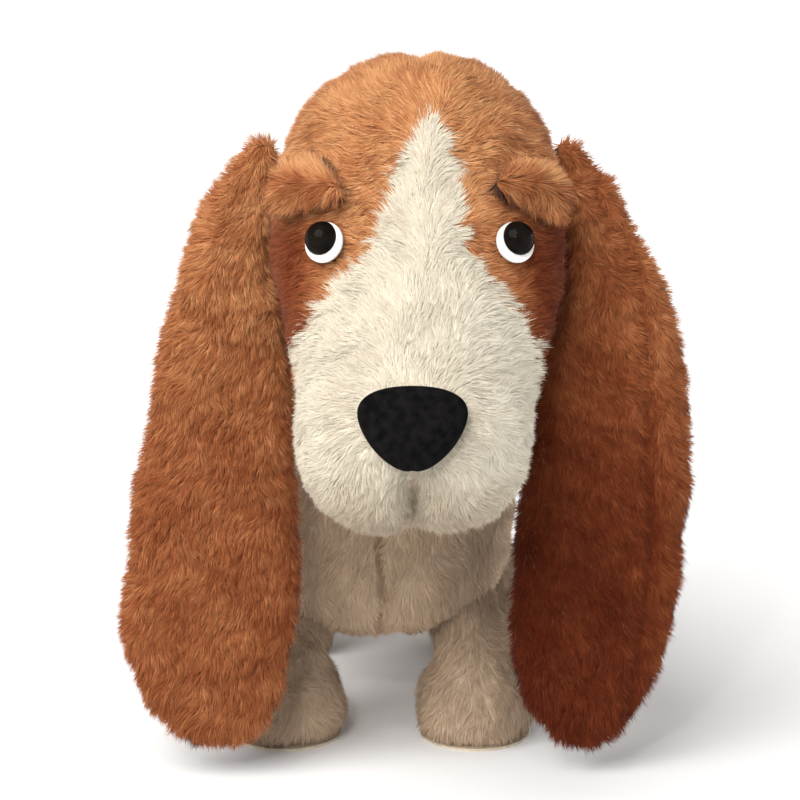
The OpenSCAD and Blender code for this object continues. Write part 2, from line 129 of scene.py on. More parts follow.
def formed(name, rings, level=3):
    """A smooth closed skin through rings of points that are in the same order."""
    sides = len(rings[0])
    points = np.vstack([*rings, rings[0].mean(0), rings[-1].mean(0)])
    faces = []
    for k in range(len(rings) - 1):
        for c in range(sides):
            d = (c + 1) % sides
            faces.append((k * sides + c, k * sides + d, (k + 1) * sides + d, (k + 1) * sides + c))
    first, last = len(points) - 2, len(points) - 1
    base = (len(rings) - 1) * sides
    for c in range(sides):
        d = (c + 1) % sides
        faces.append((first, d, c))
        faces.append((last, base + c, base + d))
    mesh = bpy.data.meshes.new(name)
    mesh.from_pydata(points.tolist(), [], faces)
    work = bmesh.new()
    work.from_mesh(mesh)
    bmesh.ops.recalc_face_normals(work, faces=work.faces)
    work.to_mesh(mesh)
    work.free()
    obj = link(name, mesh)
    return subdivided(obj, level)


def subdivided(obj, level):
    modifier = obj.modifiers.new("smooth", "SUBSURF")
    modifier.levels = level
    modifier.render_levels = level
    return applied(obj)


def applied(obj):
    """The object with its modifiers made real."""
    graph = bpy.context.evaluated_depsgraph_get()
    mesh = bpy.data.meshes.new_from_object(obj.evaluated_get(graph))
    obj.modifiers.clear()
    old = obj.data
    obj.data = mesh
    bpy.data.meshes.remove(old)
    mesh.name = obj.name
    mesh.polygons.foreach_set("use_smooth", np.ones(len(mesh.polygons), bool))
    return obj


def read(obj):
    mesh = obj.data
    points = np.zeros(len(mesh.vertices) * 3)
    normals = np.zeros(len(mesh.vertices) * 3)
    mesh.vertices.foreach_get("co", points)
    mesh.vertex_normals.foreach_get("vector", normals)
    return points.reshape(-1, 3), normals.reshape(-1, 3)


def place(obj, points):
    obj.data.vertices.foreach_set("co", np.ascontiguousarray(points, np.float32).ravel())
    obj.data.update()


def hill(points, centre, radii):
    """1 at the centre, falling smoothly to 0 over the radii."""
    away = (points - np.asarray(centre)) / np.asarray(radii)
    return np.exp(-(away ** 2).sum(1))


def waves(points, size, seed, count=10):
    """Smooth noise from about -1 to 1, with features of about that size."""
    rng = np.random.default_rng(seed)
    way = rng.normal(size=(3, count))
    way /= np.linalg.norm(way, axis=0)
    rate = 2 * math.pi / size * rng.uniform(0.6, 1.4, count)
    phase = rng.uniform(0, 2 * math.pi, count)
    return np.sin(points @ (way * rate) + phase).sum(1) / math.sqrt(count)


def unit(vectors):
    return vectors / np.maximum(np.linalg.norm(vectors, axis=-1, keepdims=True), 1e-9)


def steady_number(name):
    """The same number each time for one name."""
    return sum(ord(letter) for letter in name) % 97


def steps(x, low, high):
    """0 below low, 1 above high, and smooth between."""
    t = np.clip((x - low) / (high - low), 0, 1)
    return t * t * (3 - 2 * t)


# ---- Materials ----
def surface(name, color, roughness=0.9, sheen=0.0, specular=0.3):
    """A material with one Principled shader, whose constant values sit on its own sockets."""
    material = bpy.data.materials.new(name)
    material.use_nodes = True
    shader = material.node_tree.nodes["Principled BSDF"]
    shader.inputs["Base Color"].default_value = (*color, 1)
    shader.inputs["Roughness"].default_value = roughness
    shader.inputs["Sheen Weight"].default_value = sheen
    shader.inputs["Sheen Roughness"].default_value = 0.5
    shader.inputs["Specular IOR Level"].default_value = specular
    return material


def mottled(name, dark, light, size, bump=0.0, bump_size=1 * MM, roughness=(0.8, 0.95), **look):
    """A surface whose colour wanders between two shades, with a fine bump."""
    material = surface(name, light, **look)
    nodes, links = material.node_tree.nodes, material.node_tree.links
    shader = nodes["Principled BSDF"]
    where = nodes.new("ShaderNodeTexCoord")
    patches = nodes.new("ShaderNodeTexNoise")
    patches.inputs["Scale"].default_value = 1 / size
    patches.inputs["Detail"].default_value = 5
    links.new(where.outputs["Object"], patches.inputs["Vector"])
    ramp = nodes.new("ShaderNodeValToRGB")
    ramp.color_ramp.elements[0].position = 0.32
    ramp.color_ramp.elements[0].color = (*dark, 1)
    ramp.color_ramp.elements[1].position = 0.68
    ramp.color_ramp.elements[1].color = (*light, 1)
    links.new(patches.outputs["Fac"], ramp.inputs["Fac"])
    links.new(ramp.outputs["Color"], shader.inputs["Base Color"])
    rough = nodes.new("ShaderNodeMapRange")
    rough.inputs["To Min"].default_value = roughness[0]
    rough.inputs["To Max"].default_value = roughness[1]
    links.new(patches.outputs["Fac"], rough.inputs["Value"])
    links.new(rough.outputs["Result"], shader.inputs["Roughness"])
    if bump:
        grain = nodes.new("ShaderNodeTexNoise")
        grain.inputs["Scale"].default_value = 1 / bump_size
        grain.inputs["Detail"].default_value = 3
        links.new(where.outputs["Object"], grain.inputs["Vector"])
        relief = nodes.new("ShaderNodeBump")
        relief.inputs["Strength"].default_value = bump
        relief.inputs["Distance"].default_value = 0.5 * bump_size
        links.new(grain.outputs["Fac"], relief.inputs["Height"])
        links.new(relief.outputs["Normal"], shader.inputs["Normal"])
    return material


SHADES = 9               # shades of pile in each colour, from the darkest root to the lightest tip
BROWN, CREAM, SHADED_CREAM = 0, 1, 2
# The darkest and the lightest shade of each colour. The third colour is the cream painted darker and warmer
# as shade, for the chest, belly, legs and front of the neck.
PILE_COLORS = [((0.09, 0.012, 0.003), (0.78, 0.385, 0.165)),
               ((0.34, 0.25, 0.17), (0.97, 0.90, 0.74)),
               ((0.26, 0.16, 0.10), (0.86, 0.66, 0.47))]


def pile_materials():
    made = []
    for name, (dark, light) in zip(("brown", "cream", "shaded_cream"), PILE_COLORS):
        for k in range(SHADES):
            t = k / (SHADES - 1)
            color = [math.exp(math.log(d) * (1 - t) + math.log(b) * t) for d, b in zip(dark, light)]
            made.append(surface(f"{name}_pile_{k}", color, roughness=0.8, sheen=0.06, specular=0.1))
    return made


pile_shades = pile_materials()
brown_backing = mottled("brown_backing", (0.13, 0.045, 0.015), (0.28, 0.11, 0.04), 12 * MM, bump=0.5)
cream_backing = mottled("cream_backing", (0.42, 0.33, 0.24), (0.62, 0.53, 0.41), 12 * MM, bump=0.5)


# ---- Pile ----
def hashed(cells, seed):
    """Three numbers from 0 to 1 for each whole-number cell, always the same for one cell."""
    keys = (cells * np.array([73856093, 19349663, 83492791])).sum(1) + seed * 2654435761
    out = []
    for k in range(3):
        mixed = (keys + k * 974634777) & 0xFFFFFFFF
        mixed = ((mixed ^ (mixed >> 15)) * 2246822519) & 0xFFFFFFFF
        mixed = ((mixed ^ (mixed >> 13)) * 3266489917) & 0xFFFFFFFF
        mixed = mixed ^ (mixed >> 16)
        out.append(mixed / 0xFFFFFFFF)
    return np.stack(out, axis=1)


def clumps(points, size, seed):
    """For each point, the middle of the clump that it belongs to, and the clump's own number."""
    cells = np.floor(points / size).astype(np.int64)
    best = np.full(len(points), np.inf)
    middle = np.zeros_like(points)
    number = np.zeros(len(points))
    for step in np.ndindex(3, 3, 3):
        there = cells + np.array(step) - 1
        chance = hashed(there, seed)
        spot = (there + chance) * size
        away = ((points - spot) ** 2).sum(1)
        near = away < best
        best[near] = away[near]
        middle[near] = spot[near]
        number[near] = chance[near, 0] * 7 % 1
    return middle, number


def roots(obj, per_mm2, rng):
    """Points spread over a skin, with the skin's normals there, in the order of its faces."""
    mesh = obj.data
    mesh.calc_loop_triangles()
    corner = np.zeros(len(mesh.loop_triangles) * 3, np.int32)
    mesh.loop_triangles.foreach_get("vertices", corner)
    corner = corner.reshape(-1, 3)
    points, normals = read(obj)
    a, b, c = (points[corner[:, k]] for k in range(3))
    area = np.linalg.norm(np.cross(b - a, c - a), axis=1) / 2
    weight = np.cumsum(area)
    count = int(weight[-1] / MM ** 2 * per_mm2)
    at = (np.arange(count) + rng.random(count)) * weight[-1] / count
    pick = np.minimum(np.searchsorted(weight, at), len(area) - 1)
    u, v = np.sqrt(rng.random(count)), rng.random(count)
    share = np.stack([1 - u, u * (1 - v), u * v], axis=1)
    found = np.einsum("nk,nkd->nd", share, points[corner[pick]])
    facing = np.einsum("nk,nkd->nd", share, normals[corner[pick]])
    return found, unit(facing)


TUFT_WIDTH = 0.6 * MM
CLUMP_SIZE = 3.2 * MM
PULL = 0.4               # how far a tuft's tip leans to the middle of its clump, as a share
MOST_TUFTS = 64000       # in one piece


def pile(name, skin, per_mm2, length, flow, color, ride, seed, lean=60, keep=None,
         swirl=0.5, tone=None):
    """Tufts all over a skin. length, flow, color, keep and tone are functions of points and normals.

    tone runs from 0, the darkest shade of the pile's colour, to 1, the lightest.
    """
    rng = np.random.default_rng(seed)
    points, normals = roots(skin, per_mm2, rng)
    if keep is not None:
        kept = keep(points, normals) > rng.random(len(points))
        points, normals = points[kept], normals[kept]
    count = len(points)
    heading = flow(points, normals)
    heading = unit(heading - (heading * normals).sum(1, keepdims=True) * normals)
    sideways = np.cross(normals, heading)
    turn = swirl * waves(points, 28 * MM, seed + 1) + 0.35 * swirl * waves(points, 9 * MM, seed + 2)
    middle, number = clumps(points, CLUMP_SIZE, seed)
    turn = turn + (number - 0.5) * 0.5 + rng.normal(0, 0.16, count)
    heading = heading * np.cos(turn)[:, None] + sideways * np.sin(turn)[:, None]
    size = length(points, normals) * (0.82 + 0.3 * number) * rng.uniform(0.8, 1.12, count)
    size = size[:, None]
    tilt = np.radians(lean + 9 * waves(points, 14 * MM, seed + 3) + rng.normal(0, 7, count))[:, None]
    gather = middle - points
    gather = gather - (gather * normals).sum(1, keepdims=True) * normals
    tip = points + size * (normals * np.cos(tilt) + heading * np.sin(tilt)) + PULL * gather
    along = unit(tip - points)
    across = unit(np.cross(along, normals))
    twist = rng.uniform(-0.6, 0.6, count)[:, None]
    ridge = np.cross(across, along)
    turned = across * np.cos(twist) + ridge * np.sin(twist)
    ridge = ridge * np.cos(twist) - across * np.sin(twist)
    across = turned
    half = TUFT_WIDTH / 2 * rng.uniform(0.8, 1.25, count)[:, None]
    low = points - normals * 0.3 * MM
    corner = np.stack([low + ridge * half * 0.9, low + across * half, low - across * half, tip], axis=1)
    corner[:, :, 2] = np.maximum(corner[:, :, 2], 0.2 * MM)
    soft = unit(normals + 0.15 * rng.normal(size=(count, 3)) - 0.25 * unit(gather) + (0, 0, 0.28))
    facing = np.stack([soft] * 4, axis=1)
    kind = color(points, normals)
    tones = tone(points, normals) if tone else np.full(count, 0.7)
    wander = (0.045 * waves(points, 30 * MM, seed + 4) + 0.04 * waves(points, 7 * MM, seed + 5)
              + 0.13 * (number - 0.5) + rng.normal(0, 0.05, count))
    tones = tones + wander * np.where(kind == BROWN, 1, 0.6)
    tip_shade = np.clip(np.round(tones * (SHADES - 1) + 0.3), 1, SHADES - 1).astype(np.int32)
    deeper = np.where(kind == BROWN, rng.integers(0, 3, count), rng.integers(0, 2, count))
    root_shade = np.clip(tip_shade - deeper, 0, SHADES - 1).astype(np.int32)
    edge_shade = np.maximum(tip_shade - rng.integers(0, 2, count), 0)
    shades = np.stack([tip_shade, root_shade, edge_shade], axis=1) + (kind * SHADES)[:, None]
    groups = math.ceil(count / MOST_TUFTS)
    made = []
    for k in range(groups):
        part = slice(k * count // groups, (k + 1) * count // groups)
        title = name if groups == 1 else f"{name}_{k + 1}"
        made.append(tuft_mesh(title, corner[part], facing[part], shades[part]))
        ride(made[-1])
    return made


def tuft_mesh(name, corner, facing, shades):
    """Closed spikes on three-cornered roots, each with two upper faces and an underside."""
    count = len(corner)
    mesh = bpy.data.meshes.new(name)
    mesh.vertices.add(count * 4)
    mesh.vertices.foreach_set("co", corner.astype(np.float32).ravel())
    base = np.arange(count)[:, None] * 4
    faces = np.concatenate([base + (0, 1, 3), base + (1, 2, 3), base + (2, 0, 3)], axis=1)
    mesh.loops.add(count * 9)
    mesh.loops.foreach_set("vertex_index", faces.astype(np.int32).ravel())
    mesh.polygons.add(count * 3)
    mesh.polygons.foreach_set("loop_start", np.arange(0, count * 9, 3, dtype=np.int32))
    used = sorted(set(shades.ravel().tolist()))
    slots = np.zeros(len(PILE_COLORS) * SHADES, np.int32)
    for k, number in enumerate(used):
        mesh.materials.append(pile_shades[number])
        slots[number] = k
    mesh.polygons.foreach_set("material_index", slots[shades].astype(np.int32).ravel())
    mesh.update(calc_edges=True)
    normals = mesh.attributes.new("custom_normal", "FLOAT_VECTOR", "POINT")
    normals.data.foreach_set("vector", facing.astype(np.float32).ravel())
    return link(name, mesh)


def riding(body):
    return lambda obj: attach(obj, body)


def bending():
    return lambda obj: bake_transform(obj)


def skinned(obj, material, slot, ride, *nodes, fill=0.8):
    """Gives a stuffed skin its material, hides the nodes that it stands for, and hands it to ride."""
    obj.data.materials.clear()
    obj.data.materials.append(material)
    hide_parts(*nodes)
    ride(obj)
    return obj


def always(value):
    return lambda points, normals: np.full(len(points), value)


# ---- Head: one loft from the nape to the snout ----
# Distance forward of the nape, top and bottom below the crown, half width, pear, squareness
HEAD_ROWS = [
    (0, 76, 88, 6, 0, 2), (4, 56, 106, 28, 0, 2), (12, 36, 124, 48, 0, 2),
    (30, 14, 149, 69, 0.02, 2), (53, 3, 164, 79, 0.02, 2.1), (78, 0, 173, 82, 0.03, 2.1),
    (103, 9, 190, 81, 0.03, 2.1), (124, 28, 209, 76, 0.02, 2.1), (139, 56, 228, 69, 0.03, 2.1),
    (149, 82, 238, 64, 0.08, 2.15), (160, 106, 246, 64, 0.15, 2.25), (178, 127, 246, 64, 0.14, 2.3),
    (196, 140, 236, 57, 0.04, 2.3), (208, 151, 217, 41, 0, 2.1), (213, 158, 201, 27, 0, 2),
]


def make_head():
    rings = []
    inset = pile_room / MM
    reach = HEAD_ROWS[-1][0]
    for forward, top, bottom, half, pear, square in HEAD_ROWS:
        middle = (top + bottom) / 2
        half_up = max((bottom - top) / 2 - inset, 2) * MM
        half_across = max(half - inset, 2) * MM
        forward = inset + forward * (reach - 2 * inset) / reach
        turn = muzzle_turn * steps(forward, 125, 170)
        centre = (head_x - turn, nape_y - forward * MM, crown_z - middle * MM)
        rings.append(ring(centre, X, Z, half_across * CAGE, half_up * CAGE, SIDES_ROUND, pear, square))
    head = formed("head_skin", rings)
    points, normals = read(head)
    move = np.zeros(len(points))
    chin = np.array([head_x - 3 * MM, nose_place[1] + 14 * MM, nose_place[2] - 50 * MM])
    move -= 15 * MM * hill(points, chin, (7 * MM, 30 * MM, 26 * MM))
    for side in (-1, 1):
        flew = chin + np.array([side * 28, -2, 6]) * MM
        move += 5.5 * MM * hill(points, flew, (20 * MM, 26 * MM, 20 * MM))
        brow = np.array([head_x + side * 62 * MM, nape_y - 133 * MM, crown_z - 66 * MM])
        move += 2 * MM * hill(points, brow, (24 * MM, 20 * MM, 14 * MM))
        eye = eye_place("left" if side > 0 else "right")
        lid = eye + np.array([side * 9, 3, 12]) * MM
        move += 3 * MM * hill(points, lid, (10 * MM, 10 * MM, 7 * MM))
    bridge = np.array([head_x, nape_y - 163 * MM, crown_z - 112 * MM])
    move += 1.5 * MM * hill(points, bridge, (30 * MM, 22 * MM, 22 * MM))
    crease = np.array([head_x, nape_y - 60 * MM, crown_z])
    move -= 4 * MM * hill(points, crease, (5 * MM, 60 * MM, 16 * MM))
    move += 0.9 * MM * waves(points, 55 * MM, 11)
    crown = steps(points[:, 1], nape_y - 135 * MM, nape_y - 90 * MM)
    move += 5 * MM * steps(normals[:, 2], 0.2, 0.8) * crown
    place(head, points + normals * move[:, None])
    return head


BLAZE = [(28, 1), (36, 5), (44, 10), (54, 14), (68, 17), (84, 20), (94, 23), (106, 32), (114, 40),
         (123, 47), (134, 55), (144, 60), (150, 64)]     # drop below the crown and half width, down the face


def head_color(points, normals):
    """Cream on the blaze, the muzzle and the throat, with a ragged border."""
    ragged = 2.2 * MM * waves(points, 7 * MM, 21) + 1.2 * MM * waves(points, 3 * MM, 22)
    drop = (crown_z - points[:, 2]) / MM
    half = np.interp(drop, [row[0] for row in BLAZE], [row[1] for row in BLAZE]) * MM
    middle = head_x + (6 - 8 * steps(drop, 30, 120)) * MM
    forward = nape_y - points[:, 1]
    blaze = (np.abs(points[:, 0] - middle) + ragged < half) & (drop > 27) & (forward > 95 * MM)
    muzzle = (drop > 132) & (forward + 0.4 * ragged > (164 - 12 * steps(drop, 170, 225)) * MM)
    throat = (normals[:, 2] < -0.7) & (forward + ragged > 40 * MM)
    return np.where(blaze | muzzle | throat, CREAM, BROWN)


def head_tone(points, normals):
    """Painted shade: darker on the cheeks under the brows, under the jaw, low on the muzzle and in the cleft
    of the chin. The brown is painted darker towards the dog's left, away from the light, and the cream is
    painted lighter there as painted light.
    """
    drop = (crown_z - points[:, 2]) / MM
    out = (points[:, 0] - head_x) / MM
    # painted shade on the cheeks under the brows, and on the brown towards the dog's left, away from the
    # light
    cheek = steps(drop, 70, 100) * steps(np.abs(out), 42, 66)
    brown = 0.88 - 0.1 * steps(out, 10, 60) - 0.5 * cheek
    chin = (head_x - 3 * MM, nose_place[1], nose_place[2] - 42 * MM)
    cleft = hill(points, chin, (3 * MM, 40 * MM, 20 * MM))
    # painted light on the cream towards the dog's left; painted shade low on the muzzle, under the jaw and
    # in the cleft of the chin
    cream = 0.82 + 0.12 * steps(out, 0, 50) - 0.42 * steps(drop, 195, 245) - 0.35 * cleft
    return np.where(head_color(points, normals) == CREAM, cream, brown)


def head_flow(points, normals):
    """Pile runs away from the nose, out over the cheeks, back over the crown, and down at the jaw."""
    away = points - nose_place
    radial = unit(away * np.array([1, 0.25, 1]))
    out = (points[:, 0:1] - head_x - 4 * MM) / (80 * MM)
    side = np.clip(out * 6, -1, 1)
    top = steps(points[:, 2:3], crown_z - 45 * MM, crown_z - 10 * MM)
    back = np.concatenate([side * (1 - 0.5 * top), 0.35 + 0.6 * top, 0.5 - 0.75 * np.abs(side)], axis=1)
    on_muzzle = 1 - steps(nape_y - points[:, 1], 130 * MM, 175 * MM)[:, None]
    return back * on_muzzle + (1.2 * radial + np.array([0, 0.2, -0.35])) * (1 - on_muzzle)


def head_length(points, normals):
    forward = nape_y - points[:, 1]
    muzzle = steps(forward, 135 * MM, 165 * MM)
    chin = steps(crown_z - points[:, 2], 215 * MM, 245 * MM) * steps(forward, 140 * MM, 170 * MM)
    size = 8.2 * MM - 1.2 * MM * muzzle + 4 * MM * chin
    for side in SIDES:
        away = np.linalg.norm(points - eye_place(side), axis=1)
        size = size * (0.6 + 0.4 * steps(away, 9 * MM, 24 * MM))
    near_nose = steps(np.linalg.norm((points - nose_place) / (1, 1.4, 0.9), axis=1), 20 * MM, 38 * MM)
    return size * (0.55 + 0.45 * near_nose)


def head_keep(points, normals):
    keep = np.ones(len(points))
    for side, hand in SIDES.items():
        away = points - eye_place(side)
        outer = np.clip(away @ (0.7 * hand, 0, 0.7) / (9 * MM), 0, 1)
        keep *= np.linalg.norm(away, axis=1) > (11.5 - 2.5 * outer) * MM
    away = (points - nose_place) / ((nose_high - nose_low) / 2)
    keep *= ~((np.hypot(away[:, 0], away[:, 2]) < 0.82) & (points[:, 1] < nose_place[1] + 30 * MM))
    return keep * (np.linalg.norm(points - neck_place, axis=1) > 40 * MM)


# ---- Torso ----
torso_length = torso_high[1] - torso_low[1]
torso_half = (torso_high[0] - torso_low[0]) / 2
torso_tall = (torso_high[2] - torso_low[2]) / 2


TORSO_SQUARE = 2.7       # how far the torso's section fills its corners, where 2 is an ellipse
CHEST_SHARE = 0.345      # share of the torso's length that the chest panels cover


def torso_swell(t, least):
    """Share of the full section at a share of the torso's length."""
    return np.sqrt(np.maximum(1 - np.abs(2 * t - 1) ** 6, least))


def make_torso():
    rings = []
    count = 12
    for k in range(count + 1):
        t = (1 - math.cos(math.pi * k / count)) / 2
        swell = torso_swell(t, 0.02)
        y = torso_low[1] + pile_room + t * (torso_length - 2 * pile_room)
        centre = (torso_x, y, torso_z)
        rings.append(ring(centre, X, Z, swell * (torso_half - pile_room) * 1.06,
                          swell * (torso_tall - pile_room) * CAGE, SIDES_ROUND, square=TORSO_SQUARE))
    torso = formed("torso_skin", rings)
    points, normals = read(torso)
    seam = hill(points, (torso_x, torso_low[1], torso_z), (2.2 * MM, 60 * MM, 1))
    ring_seam = hill(points, (0, torso_low[1] + CHEST_SHARE * torso_length, 0), (1, 2.5 * MM, 1))
    move = -2.4 * MM * seam - 1.2 * MM * ring_seam + 1.6 * MM * waves(points, 70 * MM, 31)
    move += 0.6 * MM * waves(points, 22 * MM, 32)
    low_chest = (torso_x, chest_y + 16 * MM, torso_z - 56 * MM)
    shoulder = (torso_x + 72 * MM, chest_y + 60 * MM, torso_z + 35 * MM)
    move += 6 * MM * hill(points, shoulder, (40 * MM, 50 * MM, 32 * MM))
    move += 11 * MM * hill(points, low_chest, (75 * MM, 32 * MM, 32 * MM))
    place(torso, points + normals * move[:, None])
    return torso


def outside_torso(points):
    """True for points that are not buried in the torso."""
    t = np.clip((points[:, 1] - torso_low[1]) / torso_length, 0, 1)
    swell = torso_swell(t, 0.0004)
    across = (points[:, 0] - torso_x) / (torso_half * swell)
    up = (points[:, 2] - torso_z) / (torso_tall * swell)
    ends = np.abs(points[:, 1] - (torso_low[1] + torso_high[1]) / 2) > torso_length / 2
    return (np.abs(across) ** TORSO_SQUARE + np.abs(up) ** TORSO_SQUARE > 0.9) | ends


def torso_color(points, normals):
    ragged = 2 * MM * waves(points, 7 * MM, 23)
    chest = points[:, 1] + ragged < torso_low[1] + CHEST_SHARE * torso_length
    low = (torso_z - points[:, 2]) / torso_tall
    belly = low + ragged / torso_tall > 0.8
    # chest and belly take the shaded cream, the cream plush painted darker as shade
    return np.where(chest | belly, SHADED_CREAM, BROWN)


def torso_tone(points, normals):
    """Darker along the chest's centre seam."""
    seam = hill(points, (torso_x, chest_y, torso_z), (3 * MM, 60 * MM, 1))
    return np.where(torso_color(points, normals) == SHADED_CREAM, 0.72 - 0.35 * seam, 0.85)


def torso_flow(points, normals):
    t = (points[:, 1:2] - torso_low[1]) / torso_length
    return np.concatenate([0 * t, 0.3 + t * 1.2, -1 + 0.6 * t], axis=1)


# ---- Legs ----
LEG_RADIUS = 28 * MM - pile_room
TOP_TUCK = {"front": 8, "hind": 14}        # how far a leg's top leans in under the torso
# Height, and share of the full paw
PAW_ROWS = [(1.5, 0.7), (5, 0.92), (15, 1), (25, 0.97), (35, 0.86), (43, 0.74)]


def make_leg(end, side):
    name = f"{end}_leg_skin_{side}"
    low, high = corners(name)
    hip = joint_place(f"{end}_leg_{side}_swing")
    sole_low, sole_high = corners(f"{end}_sole_{side}")
    paw = (low + high) / 2
    paw[1] = (sole_low[1] + sole_high[1]) / 2
    wide, deep = (high[0] - low[0]) / 2 - pile_room, (high[1] - low[1]) / 2 - pile_room
    rings = [ring((paw[0], paw[1], 0.8 * MM), X, Y, wide * 0.4, deep * 0.4)]
    for height, share in PAW_ROWS:
        y = hip[1] + (paw[1] - hip[1]) * share
        rings.append(ring((paw[0], y, height * MM), X, Y, wide * share, deep * share, square=2.2))
    top = hip[2]
    rings.append(ring((hip[0], hip[1] - 1 * MM, 52 * MM), X, Y, LEG_RADIUS * 1.04, LEG_RADIUS * 1.08))
    tuck = -SIDES[side] * TOP_TUCK[end] * MM
    rings.append(ring((hip[0] + 0.6 * tuck, hip[1] + 9 * MM, max(top - 14 * MM, 64 * MM)), X, Y,
                      LEG_RADIUS * 0.88, LEG_RADIUS * 0.76))
    for angle in (5, 35, 62, 82):
        a = math.radians(angle)
        dome = 0.8 * LEG_RADIUS * math.cos(a)
        centre = (hip[0] + tuck, hip[1] + 13 * MM, top + 0.8 * LEG_RADIUS * math.sin(a))
        rings.append(ring(centre, X, Y, dome, dome * 0.85))
    skin = formed(name.replace("leg_skin", "leg_form"), rings)
    points, normals = read(skin)
    ankle = hill(points, (0, 0, 46 * MM), (1, 1, 5 * MM))
    move = -1.2 * MM * ankle + 0.8 * MM * waves(points, 30 * MM, 41 + steady_number(name))
    moved = points + normals * move[:, None]
    moved[:, 2] = np.maximum(moved[:, 2], 0.4 * MM)
    place(skin, moved)
    return skin, hip


def leg_flow(points, normals):
    return np.tile([0.0, -0.15, -1.0], (len(points), 1))


# ---- Neck ----
def make_neck():
    rings = []
    for rise, radius in ((-46, 20), (-44, 40), (-30, 46), (-10, 43), (12, 42), (30, 40), (42, 34), (45, 16)):
        centre = neck_place + (0, 0, rise * MM)
        rings.append(ring(centre, X, Y, radius * MM, radius * MM))
    return formed("neck_form", rings, level=2)


# ---- Ears ----
# Drop below the hinge, inner edge and outer edge outward of the hinge, thickness, set forward
EAR_ROWS = {
    "right": [(-9, -7, 10, 12, 0), (2, -10, 22, 18, 1), (28, -4, 37, 24, 3), (54, -6, 50, 29, 6),
              (110, -17, 62, 32, 10), (178, -19, 78, 33, 12), (250, -19, 88, 33, 12),
              (290, -15, 84, 31, 12), (314, -4, 70, 26, 12), (329, 10, 50, 18, 12)],
    "left": [(-9, -12, 6, 12, 0), (2, -14, 17, 18, 1), (24, -10, 31, 24, 3), (48, -8, 45, 29, 6),
             (82, -13, 60, 31, 9), (133, -25, 69, 33, 12), (200, -32, 72, 33, 12), (262, -36, 65, 33, 12),
             (300, -33, 54, 30, 12), (318, -20, 40, 24, 12), (331, -4, 26, 16, 12)],
}


def make_ear(side):
    hinge = joint_place(f"ear_{side}_swing")
    out = SIDES[side]
    rings = []
    for drop, inner, outer, thick, forward in EAR_ROWS[side]:
        inner, outer = inner + 4, outer - 4
        centre = (hinge[0] + out * (inner + outer) / 2 * MM, hinge[1] - forward * MM, hinge[2] - drop * MM)
        half = max((thick / 2 - 4.5), 2) * MM
        rings.append(ring(centre, X, Y, (outer - inner) / 2 * MM, half, SIDES_ROUND, square=2.25))
    ear = formed(f"ear_form_{side}", rings)
    points, normals = read(ear)
    across = np.abs(normals[:, 0])
    seam = hill(points, (0, hinge[1] - 12 * MM, 0), (1, 1.6 * MM, 1)) * steps(across, 0.6, 0.95)
    move = -2.5 * MM * front_seam(side, points) * steps(-normals[:, 1], 0.2, 0.6)
    move += -1.6 * MM * seam + 1.6 * MM * waves(points, 60 * MM, 51 + out)
    move += 0.5 * MM * waves(points, 18 * MM, 53)
    place(ear, points + normals * move[:, None])
    return ear, hinge


# Drop below the hinge, and outward of it
FRONT_SEAM = [(22, 13), (48, 34), (96, 41), (225, 46), (300, 36)]


def front_seam(side, points):
    """1 on the seam that runs down the front of the left ear, inside its outer edge."""
    if side == "right":
        return np.zeros(len(points))
    hinge = joint_place(f"ear_{side}_swing")
    drop = (hinge[2] - points[:, 2]) / MM
    along = np.interp(drop, [row[0] for row in FRONT_SEAM], [row[1] for row in FRONT_SEAM])
    away = (points[:, 0] - hinge[0]) / MM - along
    return np.exp(-(away / 4) ** 2) * (points[:, 1] < hinge[1])


def ear_tone(side):
    """Painted light and shade on the ear pile. The left ear turns away from the light, and its pile is
    painted darker and redder. Both ears are painted darker where they tuck in under the head's shadow, and
    are darker towards the bottom; the left ear is painted lighter along its outer rim and where it faces up,
    and darker in the crease of its front seam.
    """
    out = SIDES[side]
    hinge = joint_place(f"ear_{side}_swing")

    def tone(points, normals):
        drop = (hinge[2] - points[:, 2]) / MM
        outward = (points[:, 0] - hinge[0]) / MM * out
        tucked = 1 - steps(outward, -28, 0)
        if side == "right":
            # painted shade where the ear tucks in under the head; darker towards the bottom
            return 0.8 - 0.17 * steps(drop, 20, 200) - 0.24 * tucked
        # painted shade over the left ear, which turns from the light, and in its seam's crease; painted
        # light on its outer rim and where it faces up
        rim = steps(outward, 20, 60)
        return (0.62 - 0.42 * steps(drop, 30, 240) + 0.2 * rim - 0.1 * tucked
                - 0.1 * front_seam(side, points) + 0.15 * steps(normals[:, 2], 0.2, 0.8))
    return tone


def ear_flow(side):
    out = SIDES[side]

    def flow(points, normals):
        top = np.clip(normals[:, 2:3] * 2, 0, 1)
        edge = np.abs(normals[:, 0:1]) * np.array([0, 0.6, 0])
        return (np.array([0.3 * out, 0, -1]) + edge) * (1 - top) + np.array([0.4 * out, 1, -0.2]) * top
    return flow


def ear_length(side):
    hinge = joint_place(f"ear_{side}_swing")

    def length(points, normals):
        low = steps(hinge[2] - points[:, 2], 270 * MM, 335 * MM)
        return 7.5 * MM + 2.5 * MM * low
    return length


# ---- Eyebrows: two fluffy flaps, arched over the eyes ----
BROW_TILT = {"left": 26, "right": 10}      # how far each brow slopes down to its outer end
BROW_ROWS = [(-1, 0.1), (-0.9, 0.3), (-0.55, 0.6), (-0.1, 0.85), (0.35, 1), (0.75, 0.95),
             (0.95, 0.6), (1, 0.25)]       # place along the brow and size, thin at its inner end


